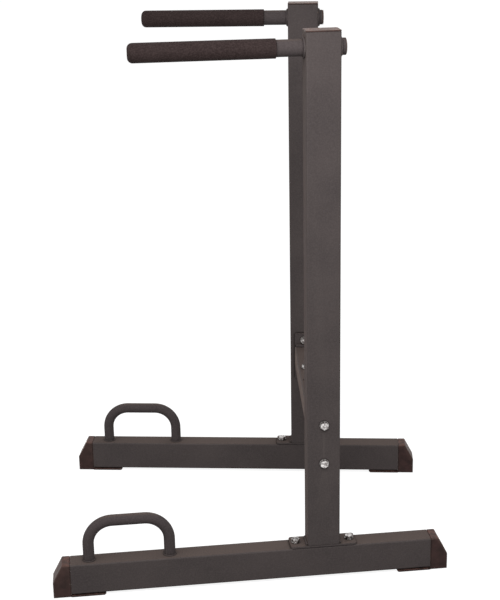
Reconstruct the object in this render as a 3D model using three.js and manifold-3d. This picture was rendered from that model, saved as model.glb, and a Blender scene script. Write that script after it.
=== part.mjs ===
// Dip station: two mirrored side frames joined by one crossmember.
// Each side frame is a base tube, an upright, a dip bar and a push-up handle.
// Millimetres, +Z up. -X is the front, where the dip bars point, and +Y is the left side.
// The origin is on the floor, under the middle of the outline.
import * as THREE from "three";
import { mergeVertices } from "three/addons/utils/BufferGeometryUtils.js";
import Module from "manifold-3d";

const wasm = await Module();
wasm.setup();

// Layout of the two side frames
const UPRIGHT_SPACING = 582.5;
const TOE_OUT = THREE.MathUtils.degToRad(5.1);
const OVERALL_HEIGHT = 1292;

// Base tubes, measured from the middle of the upright to each end of the tube
const BASE_WIDTH = 50.8;
const BASE_HEIGHT = 76.2;
const BASE_FRONT = 598;
const BASE_REAR = 259;
const TUBE_WALL = 3;
const TUBE_CORNER = 4;

// End caps: a nose past the tube's end, a sole under the tube and a plug inside it
const SOLE_THICKNESS = 6.8;
const SOLE_REACH = 77;
const SOLE_SLANT = 4;
const CAP_FLAT = 19;
const CAP_REACH = 42;
const CAP_NOSE_HEIGHT = 40;
const CAP_CORNER = 2.5;
const CAP_PLUG_DEPTH = 28;
const CAP_PLUG_WALL = 3;

// Uprights
const UPRIGHT_DEPTH = 76.2;
const TOP_CAP_THICKNESS = 3;
const TOP_CAP_CORNER = 2;
const TOP_CAP_PLUG_DEPTH = 8;

// Foot flange plates. A bolt stands its gap from the upright and its edge from the plate's end.
const FLANGE_THICKNESS = 5;
const FLANGE_CORNER = 6;
const FOOT_BOLT_GAP = 26.4;
const FOOT_BOLT_EDGE = 14;
const FOOT_WELD = 4;

// Dip bars, their axis a drop below the overall height
const BAR_DIAMETER = 36.5;
const BAR_WALL = 3;
const BAR_DROP = 37.5;
const BAR_BARE_LENGTH = 61;
const BAR_STUB_LENGTH = 11.1;
const BAR_WELD = 4.5;
const GRIP_WALL = 2.9;
const GRIP_LENGTH = 312.6;
const GRIP_END_WALL = 10;
const GRIP_END_ROUND = 11.5;
const GRIP_LIP_ROUND = 1;
const PLUG_DOME = 3.5;
const PLUG_RIM = 1.5;
const PLUG_DEPTH = 16;

// Push-up handles
const HANDLE_DIAMETER = 26.7;
const HANDLE_WALL = 2.8;
const HANDLE_SETBACK = 44.3;
const HANDLE_SPAN = 189.7;
const HANDLE_RISE = 97;
const HANDLE_BEND = 57;
const HANDLE_WELD = 3.5;

// Crossmember and its flange plates. A bolt stands its gap from the tube and its edge from the plate's end.
const CROSS_SIZE = 57.15;
const CROSS_HEIGHT = 349;
const CROSS_WELD = 6.5;
const CROSS_PLATE_MARGIN = 0.2;
const CROSS_PLATE_THICKNESS = 5;
const CROSS_PLATE_CORNER = 4;
const CROSS_BOLT_GAP = 19.175;
const CROSS_BOLT_EDGE = 17.75;

// Bolts on the crossmember's top wall, and the spare hole between them
const TOP_BOLT_OFFSET = 99;
const TOP_BOLT_SHIFT = 10.5;
const SPARE_HOLE_OFFSET = 15.5;
const SPARE_HOLE_SHIFT = 18.2;

// Fasteners, M10
const BOLT_DIAMETER = 10;
const HEX_FLATS = 17;
const HEAD_HEIGHT = 6.4;
const HEAD_CHAMFER = 1.2;
const NUT_HEIGHT = 8;
const WASHER_DIAMETER = 21;
const WASHER_THICKNESS = 2;
const THREAD_PROUD = 3;
const HOLE_CLEARANCE = 0.5;

// Clearances between faces that touch and round a plug in its tube, and how far a cut runs past a face
const SEAT_GAP = 0.2;
const FIT_GAP = 0.4;
const OVERRUN = 2;
const MERGE_DISTANCE = 0.0001;

// Shares: a tube's inner corner of its outer one at the least, and the hollow of a weld's cheek of its leg
const INNER_CORNER_SHARE = 0.33;
const WELD_CHEEK_SHARE = 0.35;

// Numbers of sides
const ROUND_SIDES = 20;
const SMALL_SIDES = 12;
const CORNER_SIDES = 1;
const ARC_STEPS = 2;
const HANDLE_STEPS = 24;
const HEX_SIDES = 6;

// Heights and places that follow from the sizes above
const baseMiddle = SOLE_THICKNESS + SEAT_GAP + BASE_HEIGHT / 2;
const baseTop = baseMiddle + BASE_HEIGHT / 2;
const flangeBottom = baseTop + SEAT_GAP;
const flangeTop = flangeBottom + FLANGE_THICKNESS;
const footBoltOffset = UPRIGHT_DEPTH / 2 + FOOT_BOLT_GAP;
const flangeLength = 2 * (footBoltOffset + FOOT_BOLT_EDGE);
const topCapBottom = OVERALL_HEIGHT - TOP_CAP_THICKNESS;
const uprightWidth = BASE_WIDTH;
const uprightFace = uprightWidth / 2;
const plateFace = uprightFace + SEAT_GAP + CROSS_PLATE_THICKNESS;
const barRadius = BAR_DIAMETER / 2;
const barHeight = OVERALL_HEIGHT - BAR_DROP;
const gripStart = UPRIGHT_DEPTH / 2 + BAR_BARE_LENGTH;
const gripEnd = gripStart + GRIP_LENGTH;
const barFront = gripEnd - GRIP_END_WALL;
const barRear = UPRIGHT_DEPTH / 2 + BAR_STUB_LENGTH;
const crossTop = CROSS_HEIGHT + CROSS_SIZE / 2;
const crossBoltOffset = CROSS_SIZE / 2 + CROSS_BOLT_GAP;
const crossBoltHeights = [CROSS_HEIGHT - crossBoltOffset, CROSS_HEIGHT + crossBoltOffset];
const crossPlateWidth = CROSS_SIZE + 2 * CROSS_PLATE_MARGIN;
const crossPlateHeight = 2 * (crossBoltOffset + CROSS_BOLT_EDGE);
// The frames are turned, so the crossmember meets its plates a little behind the uprights' centre line.
const crossShift = Math.tan(TOE_OUT) * (plateFace + SEAT_GAP);
const frontReach = BASE_FRONT + CAP_REACH;
const rearReach = BASE_REAR + CAP_REACH;
// The outline ends at corners of the turned noses, so its middle is half way between them.
const uprightX = ((frontReach - rearReach) / 2) * Math.cos(TOE_OUT);

const PAINT = new THREE.MeshStandardMaterial({ color: 0x4b4645, roughness: 0.55, metalness: 0 });
const PLASTIC = new THREE.MeshStandardMaterial({ color: 0x2c2423, roughness: 0.6, metalness: 0 });
const RUBBER = new THREE.MeshStandardMaterial({ color: 0x272120, roughness: 0.8, metalness: 0 });
const ZINC = new THREE.MeshStandardMaterial({ color: 0xb9b6b0, roughness: 0.35, metalness: 1 });

// Joins and cuts of closed meshes
function solid(geometry) {
  const bare = geometry.clone();
  bare.deleteAttribute("normal");
  bare.deleteAttribute("uv");
  const merged = mergeVertices(bare, MERGE_DISTANCE);
  const mesh = new wasm.Mesh({
    numProp: 3,
    vertProperties: new Float32Array(merged.attributes.position.array),
    triVerts: new Uint32Array(merged.index.array),
  });
  return new wasm.Manifold(mesh);
}

function geometryOf(made) {
  const mesh = made.getMesh();
  const positions = new Float32Array(mesh.numVert * 3);
  for (let i = 0; i < mesh.numVert; i++) {
    positions.set(mesh.vertProperties.subarray(i * mesh.numProp, i * mesh.numProp + 3), i * 3);
  }
  const geometry = new THREE.BufferGeometry();
  geometry.setAttribute("position", new THREE.BufferAttribute(positions, 3));
  geometry.setIndex(new THREE.BufferAttribute(mesh.triVerts, 1));
  return geometry;
}

function join(...geometries) {
  return geometryOf(geometries.map(solid).reduce((whole, next) => whole.add(next)));
}

function cut(geometry, ...tools) {
  return geometryOf(tools.map(solid).reduce((whole, tool) => whole.subtract(tool), solid(geometry)));
}

function overlap(geometry, other) {
  return geometryOf(solid(geometry).intersect(solid(other)));
}

// Outlines
function roundedRectangle(path, width, height, corner) {
  const x = width / 2 - corner;
  const y = height / 2 - corner;
  path.moveTo(x, -y - corner);
  path.absarc(x, -y, corner, -Math.PI / 2, 0, false);
  path.absarc(x, y, corner, 0, Math.PI / 2, false);
  path.absarc(-x, y, corner, Math.PI / 2, Math.PI, false);
  path.absarc(-x, -y, corner, Math.PI, Math.PI * 1.5, false);
  path.closePath();
  return path;
}

// A bar of rounded rectangular section along +Z, from z = 0; with a wall it is an open tube.
function rectangularBar(width, height, corner, length, wall = 0) {
  const shape = roundedRectangle(new THREE.Shape(), width, height, corner);
  if (wall) {
    const inner = Math.max(corner - wall, corner * INNER_CORNER_SHARE);
    shape.holes.push(roundedRectangle(new THREE.Path(), width - 2 * wall, height - 2 * wall, inner));
  }
  return new THREE.ExtrudeGeometry(shape, {
    depth: length,
    steps: 1,
    bevelEnabled: false,
    curveSegments: CORNER_SIDES,
  });
}

// Turns a piece made along +Z to lie along +X, its width across and its height up.
const ALONG_X = new THREE.Matrix4().makeBasis(
  new THREE.Vector3(0, 1, 0),
  new THREE.Vector3(0, 0, 1),
  new THREE.Vector3(1, 0, 0),
);

// A plate whose outline, drawn in X and Y, stands in the X-Z plane, with y = 0 in the middle of its width.
function standingPlate(outline, width) {
  const options = { depth: width, steps: 1, bevelEnabled: false, curveSegments: CORNER_SIDES };
  return new THREE.ExtrudeGeometry(outline, options).rotateX(Math.PI / 2).translate(0, width / 2, 0);
}

function rod(radius, length, sides = SMALL_SIDES) {
  return new THREE.CylinderGeometry(radius, radius, length, sides).rotateX(Math.PI / 2);
}

// A solid or ring turned about the Z axis from [radius, height] points, which run anticlockwise
function turned(profile, sides = ROUND_SIDES) {
  const points = profile.map(([radius, height]) => new THREE.Vector2(radius, height));
  return new THREE.LatheGeometry(points, sides).rotateX(Math.PI / 2);
}

// Points of a quarter circle from one angle to another, for a turned profile
function arcPoints(radius, height, size, from, to, steps = ARC_STEPS) {
  return Array.from({ length: steps + 1 }, (_, i) => {
    const angle = from + ((to - from) * i) / steps;
    return [radius + size * Math.cos(angle), height + size * Math.sin(angle)];
  });
}

// Base tube along X, its middle over x = 0, with a hole in the top wall for each foot bolt
function baseTube() {
  const length = BASE_FRONT + BASE_REAR;
  const tube = rectangularBar(BASE_WIDTH, BASE_HEIGHT, TUBE_CORNER, length, TUBE_WALL)
    .applyMatrix4(ALONG_X)
    .translate(-BASE_FRONT, 0, baseMiddle);
  const holes = [-footBoltOffset, footBoltOffset].map((x) => boltHole(TUBE_WALL).translate(x, 0, baseTop));
  return cut(tube, ...holes);
}

// What a bolt hole takes from a wall whose upper face is at z = 0
function boltHole(wall) {
  const radius = BOLT_DIAMETER / 2 + HOLE_CLEARANCE;
  return rod(radius, wall + 2 * OVERRUN).translate(0, 0, -wall / 2);
}

// The same for a wall from y = 0 to y = -wall, at the height of each crossmember bolt
function crossBoltHoles(wall) {
  return crossBoltHeights.map((z) => boltHole(wall).rotateX(-Math.PI / 2).translate(0, 0, z));
}

// End cap with its nose towards +X and the tube's end at x = 0
function endCap() {
  const profile = new THREE.Shape();
  profile.moveTo(0, SOLE_THICKNESS);
  profile.lineTo(-SOLE_REACH - SOLE_SLANT, SOLE_THICKNESS);
  profile.lineTo(-SOLE_REACH, 0);
  profile.lineTo(CAP_REACH, 0);
  profile.lineTo(CAP_REACH, CAP_NOSE_HEIGHT - CAP_CORNER);
  const slantStart = [CAP_REACH - CAP_CORNER / 2, CAP_NOSE_HEIGHT + CAP_CORNER];
  profile.quadraticCurveTo(CAP_REACH, CAP_NOSE_HEIGHT, ...slantStart);
  profile.lineTo(CAP_FLAT + CAP_CORNER / 2, baseTop - CAP_CORNER);
  profile.quadraticCurveTo(CAP_FLAT, baseTop, CAP_FLAT - CAP_CORNER, baseTop);
  profile.lineTo(0, baseTop);
  profile.closePath();
  const length = CAP_REACH + SOLE_REACH + SOLE_SLANT + 2 * OVERRUN;
  const outline = rectangularBar(BASE_WIDTH, baseTop, TUBE_CORNER, length)
    .applyMatrix4(ALONG_X)
    .translate(CAP_REACH + OVERRUN - length, 0, baseTop / 2);
  const body = overlap(standingPlate(profile, BASE_WIDTH), outline);
  const plugWidth = BASE_WIDTH - 2 * (TUBE_WALL + FIT_GAP);
  const plugHeight = BASE_HEIGHT - 2 * (TUBE_WALL + FIT_GAP);
  const plug = rectangularBar(plugWidth, plugHeight, CAP_CORNER, CAP_PLUG_DEPTH + OVERRUN, CAP_PLUG_WALL)
    .applyMatrix4(ALONG_X)
    .translate(-CAP_PLUG_DEPTH, 0, baseMiddle);
  return join(body, plug);
}

// Upright tube, cut for the dip bar along X and for the crossmember bolts along Y
function uprightTube() {
  const length = topCapBottom - flangeTop - 2 * SEAT_GAP;
  const tube = rectangularBar(UPRIGHT_DEPTH, uprightWidth, TUBE_CORNER, length, TUBE_WALL);
  tube.translate(0, 0, flangeTop + SEAT_GAP);
  const barHole = rod(barRadius + SEAT_GAP, UPRIGHT_DEPTH + 2 * OVERRUN, ROUND_SIDES)
    .rotateY(Math.PI / 2)
    .translate(0, 0, barHeight);
  const holes = crossBoltHoles(uprightWidth).map((hole) => hole.translate(0, uprightFace, 0));
  return cut(tube, barHole, ...holes);
}

// Foot flange plate, with the weld beads that hold the upright's front and rear faces
function footFlange() {
  const plate = rectangularBar(flangeLength, BASE_WIDTH, FLANGE_CORNER, FLANGE_THICKNESS);
  plate.translate(0, 0, flangeBottom);
  const holes = [-footBoltOffset, footBoltOffset].map((x) =>
    boltHole(FLANGE_THICKNESS).translate(x, 0, flangeTop),
  );
  return join(cut(plate, ...holes), footWeld(), footWeld().rotateZ(Math.PI));
}

// Weld bead of triangular section across the upright's rear face, sunk a little into the plate
function footWeld() {
  const face = UPRIGHT_DEPTH / 2 + SEAT_GAP;
  const bottom = flangeTop - FLANGE_THICKNESS / 2;
  const section = new THREE.Shape();
  section.moveTo(face, bottom);
  section.lineTo(face + FOOT_WELD, bottom);
  section.lineTo(face + FOOT_WELD, flangeTop);
  section.lineTo(face, flangeTop + FOOT_WELD);
  section.closePath();
  return standingPlate(section, uprightWidth - 2 * TUBE_CORNER);
}

// Flat cap on the upright's top end, with a plug inside the tube
function topCap() {
  const plate = rectangularBar(UPRIGHT_DEPTH, uprightWidth, TOP_CAP_CORNER, TOP_CAP_THICKNESS);
  plate.translate(0, 0, topCapBottom);
  const depth = UPRIGHT_DEPTH - 2 * (TUBE_WALL + FIT_GAP);
  const width = uprightWidth - 2 * (TUBE_WALL + FIT_GAP);
  const height = TOP_CAP_PLUG_DEPTH + TOP_CAP_THICKNESS / 2;
  const plug = rectangularBar(depth, width, TOP_CAP_CORNER, height, TUBE_WALL);
  plug.translate(0, 0, topCapBottom - TOP_CAP_PLUG_DEPTH);
  return join(plate, plug);
}

// Dip bar: a tube with its front end at z = 0, and a weld bead on it at each face of the upright
function barTube() {
  const length = barFront + barRear;
  const inner = barRadius - BAR_WALL;
  const tube = turned([
    [inner, 0],
    [barRadius, 0],
    [barRadius, length],
    [inner, length],
    [inner, 0],
  ]);
  const face = UPRIGHT_DEPTH / 2 + SEAT_GAP;
  const frontWeld = ringWeld(barRadius, BAR_WALL, BAR_WELD).rotateX(Math.PI);
  const rearWeld = ringWeld(barRadius, BAR_WALL, BAR_WELD);
  return join(tube, frontWeld.translate(0, 0, barFront - face), rearWeld.translate(0, 0, barFront + face));
}

// Hollow-cheeked weld ring round a tube that stands on a face at z = 0
function ringWeld(radius, wall, leg) {
  const cheek = leg * WELD_CHEEK_SHARE;
  return turned([
    [radius - wall / 2, 0],
    [radius + leg, 0],
    [radius + cheek, cheek],
    [radius, leg],
    [radius - wall / 2, leg],
    [radius - wall / 2, 0],
  ]);
}

// Grip sleeve, with its closed round end at z = 0 and its open end upwards
function grip() {
  const outer = barRadius + GRIP_WALL;
  const inner = barRadius + SEAT_GAP;
  const floor = GRIP_END_WALL - SEAT_GAP;
  return turned([
    [0, 0],
    ...arcPoints(outer - GRIP_END_ROUND, GRIP_END_ROUND, GRIP_END_ROUND, -Math.PI / 2, 0, 2 * ARC_STEPS),
    ...arcPoints(outer - GRIP_LIP_ROUND, GRIP_LENGTH - GRIP_LIP_ROUND, GRIP_LIP_ROUND, 0, Math.PI / 2),
    [inner, GRIP_LENGTH],
    [inner, floor],
    [0, floor],
  ]);
}

// Domed plug in the dip bar's rear end, its rim standing on the tube's end at z = 0
function barPlug() {
  const insert = barRadius - BAR_WALL - FIT_GAP;
  const dome = Array.from({ length: ARC_STEPS }, (_, i) => {
    const angle = ((i / ARC_STEPS) * Math.PI) / 2;
    return [barRadius * Math.cos(angle), PLUG_RIM + (PLUG_DOME - PLUG_RIM) * Math.sin(angle)];
  });
  return turned([
    [0, -PLUG_DEPTH],
    [insert, -PLUG_DEPTH],
    [insert, SEAT_GAP],
    [barRadius, SEAT_GAP],
    ...dome,
    [0, PLUG_DOME],
  ]);
}

// Push-up handle in the X-Z plane: a pipe up from the base at x = 0, over, and down again at x = HANDLE_SPAN
function pushUpHandle() {
  const foot = baseTop + SEAT_GAP;
  const top = baseTop + HANDLE_RISE;
  const bendStart = top - HANDLE_BEND;
  const farBend = HANDLE_SPAN - HANDLE_BEND;
  const at = (x, z) => new THREE.Vector3(x, 0, z);
  const path = new THREE.CurvePath();
  path.add(new THREE.LineCurve3(at(0, foot), at(0, bendStart)));
  path.add(new HandleBend(at(HANDLE_BEND, bendStart), Math.PI, Math.PI / 2));
  path.add(new THREE.LineCurve3(at(HANDLE_BEND, top), at(farBend, top)));
  path.add(new HandleBend(at(farBend, bendStart), Math.PI / 2, 0));
  path.add(new THREE.LineCurve3(at(HANDLE_SPAN, bendStart), at(HANDLE_SPAN, foot)));
  const section = new THREE.Shape();
  section.absarc(0, 0, HANDLE_DIAMETER / 2, 0, Math.PI * 2, false);
  const bore = new THREE.Path();
  bore.absarc(0, 0, HANDLE_DIAMETER / 2 - HANDLE_WALL, 0, Math.PI * 2, true);
  section.holes.push(bore);
  const pipe = new THREE.ExtrudeGeometry(section, {
    steps: HANDLE_STEPS,
    extrudePath: path,
    curveSegments: SMALL_SIDES / 2,
  });
  const welds = [0, HANDLE_SPAN].map((x) =>
    ringWeld(HANDLE_DIAMETER / 2, HANDLE_WALL, HANDLE_WELD).translate(x, 0, foot),
  );
  return join(pipe, ...welds);
}

// One bend of the handle in the X-Z plane, round its centre, between two angles
class HandleBend extends THREE.Curve {
  constructor(centre, from, to) {
    super();
    this.centre = centre;
    this.from = from;
    this.to = to;
  }

  getPoint(t, target = new THREE.Vector3()) {
    const angle = this.from + (this.to - this.from) * t;
    return target.set(Math.cos(angle), 0, Math.sin(angle)).multiplyScalar(HANDLE_BEND).add(this.centre);
  }
}

// Crossmember flange plate, upright, from y = 0 to y = -CROSS_PLATE_THICKNESS, its middle where the tube's is
function crossPlate(side) {
  const plate = rectangularBar(crossPlateWidth, crossPlateHeight, CROSS_PLATE_CORNER, CROSS_PLATE_THICKNESS)
    .rotateX(Math.PI / 2)
    .translate(side * crossShift, 0, CROSS_HEIGHT);
  return cut(plate, ...crossBoltHoles(CROSS_PLATE_THICKNESS));
}

// Turns a bar made along Z to lie along Y at the crossmember's height, its middle at y = 0.
function acrossAtCrossmember(geometry, length) {
  return geometry.translate(0, 0, -length / 2).rotateX(Math.PI / 2).translate(0, 0, CROSS_HEIGHT);
}

// Crossmember along Y: a square tube welded above and below at each end, trimmed parallel to its plates
function crossmember() {
  const reach = UPRIGHT_SPACING / 2 - plateFace;
  const length = 2 * (reach + CROSS_SIZE);
  const boreSize = CROSS_SIZE - 2 * TUBE_WALL;
  const tube = acrossAtCrossmember(rectangularBar(CROSS_SIZE, CROSS_SIZE, TUBE_CORNER, length), length);
  const bore = rectangularBar(boreSize, boreSize, TUBE_CORNER * INNER_CORNER_SHARE, length + 2 * OVERRUN);
  acrossAtCrossmember(bore, length + 2 * OVERRUN);
  const welds = [1, -1].map((side) => onSide(side, crossWeld(side)));
  const ends = [1, -1].map((side) => onSide(side, trimBlock(side)));
  const topHoles = [
    [-TOP_BOLT_SHIFT, TOP_BOLT_OFFSET],
    [-TOP_BOLT_SHIFT, -TOP_BOLT_OFFSET],
    [-SPARE_HOLE_SHIFT, SPARE_HOLE_OFFSET],
  ].map(([x, y]) => boltHole(TUBE_WALL).translate(x, y, crossTop));
  return cut(join(tube, ...welds), bore, ...ends, ...topHoles);
}

// Places a geometry of a side frame where that frame stands, measured from the crossmember's middle.
function onSide(side, geometry) {
  return geometry.rotateZ(-side * TOE_OUT).translate(0, (side * UPRIGHT_SPACING) / 2, 0);
}

// Frustum of four sides, high at the plate, narrowing to the tube, and only as wide as the tube's flat wall
function crossWeld(side) {
  const wide = CROSS_SIZE / 2 + CROSS_WELD;
  const narrow = CROSS_SIZE / 2 - TUBE_WALL / 2;
  const height = CROSS_WELD + TUBE_WALL / 2;
  const frustum = new THREE.CylinderGeometry(wide * Math.SQRT2, narrow * Math.SQRT2, height, 4)
    .rotateY(Math.PI / 4)
    .rotateX(side > 0 ? 0 : Math.PI);
  const flat = CROSS_SIZE - 2 * TUBE_CORNER;
  const width = new THREE.BoxGeometry(flat, height + 2 * OVERRUN, 2 * (wide + OVERRUN));
  const middle = -side * (plateFace + SEAT_GAP + height / 2);
  return overlap(frustum, width).translate(crossShift, middle, CROSS_HEIGHT);
}

// Block that takes away what would reach into the plate
function trimBlock(side) {
  const size = 4 * CROSS_SIZE;
  const middle = side * (size / 2 - plateFace - SEAT_GAP);
  return new THREE.BoxGeometry(size, size, size).translate(0, middle, CROSS_HEIGHT);
}

// Fasteners, made along Z: the seat of a head or nut is at z = 0, and a bolt's shank hangs below it.
function bolt(grip) {
  const shank = grip + NUT_HEIGHT + THREAD_PROUD;
  const head = hexagon(HEAD_HEIGHT);
  const stem = rod(BOLT_DIAMETER / 2, shank + HEAD_HEIGHT / 2).translate(0, 0, (HEAD_HEIGHT / 2 - shank) / 2);
  return join(head, stem);
}

// Hexagon standing on z = 0 with its upper corners turned off
function hexagon(height) {
  const corner = HEX_FLATS / 2 / Math.cos(Math.PI / HEX_SIDES);
  const prism = new THREE.CylinderGeometry(corner, corner, height, HEX_SIDES)
    .rotateX(Math.PI / 2)
    .translate(0, 0, height / 2);
  const blank = turned(
    [
      [0, -OVERRUN],
      [2 * corner - HEX_FLATS / 2, -OVERRUN],
      [2 * corner - HEX_FLATS / 2, height - 2 * HEAD_CHAMFER],
      [HEX_FLATS / 2, height],
      [0, height],
    ],
    SMALL_SIDES,
  );
  return overlap(prism, blank);
}

// Nut hanging from z = 0, its bore a seat gap wider than the bolt
function nut() {
  const bore = rod(BOLT_DIAMETER / 2 + SEAT_GAP, NUT_HEIGHT + 2 * OVERRUN).translate(0, 0, NUT_HEIGHT / 2);
  return cut(hexagon(NUT_HEIGHT), bore).rotateX(Math.PI);
}

function washer() {
  const bore = BOLT_DIAMETER / 2 + HOLE_CLEARANCE;
  return turned(
    [
      [bore, 0],
      [WASHER_DIAMETER / 2, 0],
      [WASHER_DIAMETER / 2, WASHER_THICKNESS],
      [bore, WASHER_THICKNESS],
      [bore, 0],
    ],
    SMALL_SIDES,
  );
}

function named(name, geometry, material) {
  const mesh = new THREE.Mesh(geometry, material);
  mesh.name = name;
  return mesh;
}

// Washer, bolt and nut through a stack of the given thickness, whose outer face is at z = 0.
// innerWasher puts a second washer under the nut.
function fastener(name, stack, innerWasher = false) {
  const group = new THREE.Group();
  const seat = SEAT_GAP + WASHER_THICKNESS;
  const under = innerWasher ? seat : 0;
  const outer = named(name + "_washer", washer(), ZINC);
  outer.position.z = SEAT_GAP;
  const screw = named(name, bolt(seat + SEAT_GAP + stack + under + SEAT_GAP), ZINC);
  screw.position.z = seat + SEAT_GAP;
  const end = named(name + "_nut", nut(), ZINC);
  end.position.z = -stack - under - SEAT_GAP;
  group.add(outer, screw, end);
  if (innerWasher) {
    const inner = named(name + "_inner_washer", washer(), ZINC);
    inner.position.z = -stack - seat;
    group.add(inner);
  }
  return group;
}

// One side frame about its own upright: x runs rearwards along the base, and side * y runs outwards.
function sideFrame(side, label) {
  const frame = new THREE.Group();
  const add = (name, geometry, material) => {
    const mesh = named(label + "_" + name, geometry, material);
    frame.add(mesh);
    return mesh;
  };

  add("base_tube", baseTube(), PAINT);
  const frontCap = add("front_end_cap", endCap(), PLASTIC);
  frontCap.rotation.z = Math.PI;
  frontCap.position.x = -BASE_FRONT - SEAT_GAP;
  const rearCap = add("rear_end_cap", endCap(), PLASTIC);
  rearCap.position.x = BASE_REAR + SEAT_GAP;
  const handle = add("push_up_handle", pushUpHandle(), PAINT);
  handle.position.x = -BASE_FRONT + HANDLE_SETBACK;

  add("foot_flange_plate", footFlange(), PAINT);
  add("upright_tube", uprightTube(), PAINT);
  add("upright_top_cap", topCap(), PLASTIC);

  const bar = add("dip_bar", barTube(), PAINT);
  bar.rotation.y = Math.PI / 2;
  bar.position.set(-barFront, 0, barHeight);
  const sleeve = add("dip_bar_grip", grip(), RUBBER);
  sleeve.rotation.y = Math.PI / 2;
  sleeve.position.set(-gripEnd, 0, barHeight);
  const plug = add("dip_bar_plug", barPlug(), PLASTIC);
  plug.rotation.y = Math.PI / 2;
  plug.position.set(barRear, 0, barHeight);

  for (const [place, x] of [["front", -footBoltOffset], ["rear", footBoltOffset]]) {
    const screw = fastener(label + "_foot_bolt_" + place, FLANGE_THICKNESS + SEAT_GAP + TUBE_WALL);
    screw.position.set(x, 0, flangeTop);
    frame.add(screw);
  }

  const plate = add("crossmember_flange_plate", crossPlate(side), PAINT);
  plate.rotation.z = side > 0 ? 0 : Math.PI;
  plate.position.y = -side * (uprightFace + SEAT_GAP);
  const stack = uprightWidth + SEAT_GAP + CROSS_PLATE_THICKNESS;
  crossBoltHeights.forEach((z, i) => {
    const screw = fastener(label + "_crossmember_bolt_" + ["lower", "upper"][i], stack, true);
    screw.rotation.x = (-side * Math.PI) / 2;
    screw.position.set(0, side * uprightFace, z);
    frame.add(screw);
  });

  frame.rotation.z = -side * TOE_OUT;
  frame.position.set(uprightX, (side * UPRIGHT_SPACING) / 2, 0);
  return frame;
}

const station = new THREE.Group();
station.name = "dip_station";
station.add(sideFrame(1, "left"), sideFrame(-1, "right"));

const beam = named("crossmember", crossmember(), PAINT);
beam.position.x = uprightX;
station.add(beam);

for (const [label, side] of [["left", 1], ["right", -1]]) {
  const screw = fastener("crossmember_top_bolt_" + label, TUBE_WALL);
  screw.position.set(uprightX - TOP_BOLT_SHIFT, side * TOP_BOLT_OFFSET, crossTop);
  station.add(screw);
}

export default station;
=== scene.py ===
# %% [markdown]
# # A dip station in steel tube
# A dip station is a free-standing frame for strength training. Two side frames stand a little splayed. Each
# has a base tube on the floor, an upright, a gripped bar at the top and a low push-up handle, and one
# crossmember joins them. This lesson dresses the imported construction: every piece is modelled at its real
# size, in metres, where the construction has it, and gets the finish that the real one has.

# %% Load the construction
import math

import bmesh
import bpy
from mathutils import Matrix, Vector


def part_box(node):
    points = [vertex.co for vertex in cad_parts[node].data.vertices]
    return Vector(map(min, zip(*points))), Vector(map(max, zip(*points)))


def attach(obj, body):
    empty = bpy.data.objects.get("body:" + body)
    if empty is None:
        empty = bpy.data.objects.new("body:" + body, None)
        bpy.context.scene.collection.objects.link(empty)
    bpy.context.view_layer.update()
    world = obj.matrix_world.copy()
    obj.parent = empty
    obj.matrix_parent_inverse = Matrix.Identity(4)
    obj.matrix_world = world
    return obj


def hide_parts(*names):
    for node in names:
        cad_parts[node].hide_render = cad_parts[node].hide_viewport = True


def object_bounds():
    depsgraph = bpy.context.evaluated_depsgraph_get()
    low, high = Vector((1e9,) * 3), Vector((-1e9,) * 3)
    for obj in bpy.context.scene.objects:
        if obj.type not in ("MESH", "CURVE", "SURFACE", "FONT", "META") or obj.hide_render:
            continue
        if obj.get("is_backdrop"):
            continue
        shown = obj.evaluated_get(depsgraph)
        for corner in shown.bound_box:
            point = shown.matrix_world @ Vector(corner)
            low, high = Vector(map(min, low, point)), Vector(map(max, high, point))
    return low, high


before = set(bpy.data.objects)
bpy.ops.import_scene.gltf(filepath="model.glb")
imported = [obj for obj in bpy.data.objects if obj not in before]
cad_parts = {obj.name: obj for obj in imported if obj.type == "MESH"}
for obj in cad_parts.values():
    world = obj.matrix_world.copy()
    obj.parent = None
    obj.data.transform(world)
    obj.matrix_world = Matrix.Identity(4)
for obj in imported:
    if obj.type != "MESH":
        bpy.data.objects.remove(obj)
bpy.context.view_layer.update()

# %% [markdown]
# ## Camera
# The photograph was taken from the side, above bar height, with the camera tipped down by 18 degrees. Its
# place and focal length were solved from points on the object, so the camera is set by numbers and not by
# eye. The long side of the picture is 600 pixels, and the sensor's width belongs to that side. The small
# shift puts the optical centre where the cropped picture has it.

# %% Camera
PICTURE_LONG_SIDE = 600
FOCAL_PIXELS = 1317.685
OPTICAL_CENTRE = (251.648, 295.387)
PICTURE_MIDDLE = (250, 300)
SENSOR = 36
CAMERA_PLACE = (-0.062165, -3.09759, 1.61808)
CAMERA_TURN = 0.025978
CAMERA_TIP = 0.314021
CAMERA_ROLL = 0.017915

bpy.ops.object.select_all(action="DESELECT")
bpy.ops.object.camera_add(location=CAMERA_PLACE)
camera = bpy.context.object
camera.name = "photo_camera"
camera.data.sensor_width = SENSOR
camera.data.lens = FOCAL_PIXELS / PICTURE_LONG_SIDE * SENSOR
camera.data.shift_x = (PICTURE_MIDDLE[0] - OPTICAL_CENTRE[0]) / PICTURE_LONG_SIDE
camera.data.shift_y = (OPTICAL_CENTRE[1] - PICTURE_MIDDLE[1]) / PICTURE_LONG_SIDE
camera.rotation_euler = (
    Matrix.Rotation(-CAMERA_TURN, 3, "Z")
    @ Matrix.Rotation(math.pi / 2 - CAMERA_TIP, 3, "X")
    @ Matrix.Rotation(-CAMERA_ROLL, 3, "Z")
).to_euler()
bpy.context.scene.camera = camera
bpy.context.scene.view_settings.view_transform = "Standard"
print("lens:", round(camera.data.lens, 2), "mm")

# %% [markdown]
# ## Materials
# Each finish is a small tree of nodes. A node reads the object's own coordinates in metres, so a pattern of 2
# mm is noise of scale 1 / 0.002. One helper turns a screen colour to the linear one that Blender works in,
# one adds a node, and one starts a material.

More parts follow.
